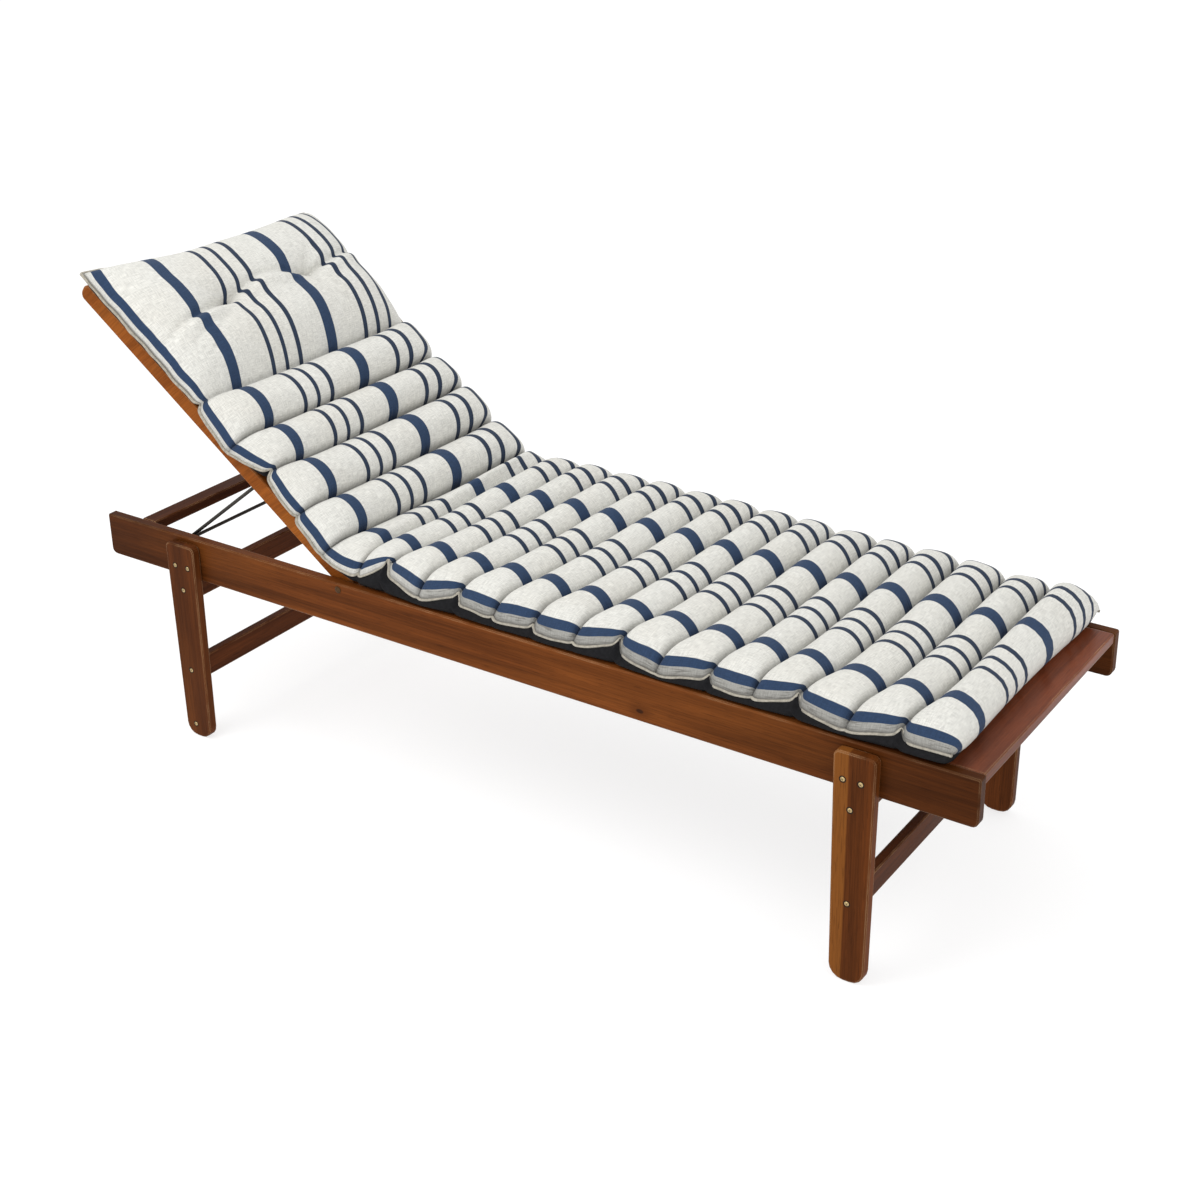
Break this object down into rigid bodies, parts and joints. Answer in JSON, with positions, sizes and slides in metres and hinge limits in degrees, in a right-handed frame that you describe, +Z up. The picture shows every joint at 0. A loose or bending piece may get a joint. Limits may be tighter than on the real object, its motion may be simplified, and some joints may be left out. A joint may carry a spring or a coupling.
{
  "type": "sun lounger cushion on a wooden sun lounger",
  "caption": "Long cushion of stuffed cross rolls with a tufted head pillow, in striped cotton canvas, lying on a slatted wooden sun lounger with a raised backrest.",
  "frame": {"origin": "on the floor under the middle of the whole object's box", "axes": "+X runs along the lounger to its foot, -X to its raised head, +Y across it, +Z up"},
  "size_m": [1.9448, 0.6406, 0.958],
  "materials": {
    "cushion_cloth": "natural cotton canvas with woven navy stripes, dark underside",
    "stained_wood": "red-brown stained and oiled hardwood, edges a little worn",
    "backrest_wood": "orange-brown stained hardwood",
    "dark_steel": "dark oxidised steel wire",
    "plated_bolt": "yellow zinc plated, dull"
  },
  "bodies": {
    "root": {"cushion": "cushion_cloth", "side_rail_near": "stained_wood", "side_rail_far": "stained_wood", "leg_head_near": "stained_wood", "leg_head_far": "stained_wood", "leg_foot_near": "stained_wood", "leg_foot_far": "stained_wood", "stretcher_head_high": "stained_wood", "stretcher_head_low": "stained_wood", "stretcher_foot_high": "stained_wood", "stretcher_foot_low": "stained_wood", "foot_board": "stained_wood", "head_bar": "stained_wood", "seat_slat_01": "stained_wood", "seat_slat_02": "stained_wood", "seat_slat_03": "stained_wood", "seat_slat_04": "stained_wood", "seat_slat_05": "stained_wood", "seat_slat_06": "stained_wood", "seat_slat_07": "stained_wood", "seat_slat_08": "stained_wood", "seat_slat_09": "stained_wood", "seat_slat_10": "stained_wood", "seat_slat_11": "stained_wood", "seat_slat_12": "stained_wood", "seat_slat_13": "stained_wood", "rack_near": "stained_wood", "rack_far": "stained_wood", "back_rail_near": "backrest_wood", "back_rail_far": "backrest_wood", "back_slat_01": "backrest_wood", "back_slat_02": "backrest_wood", "back_slat_03": "backrest_wood", "back_slat_04": "backrest_wood", "back_slat_05": "backrest_wood", "back_slat_06": "backrest_wood", "back_slat_07": "backrest_wood", "back_slat_08": "backrest_wood", "prop_bar": "dark_steel", "prop_arm_near": "dark_steel", "prop_arm_far": "dark_steel", "pivot_bolt_near": "plated_bolt", "pivot_bolt_far": "plated_bolt"}
  },
  "joints": []
}
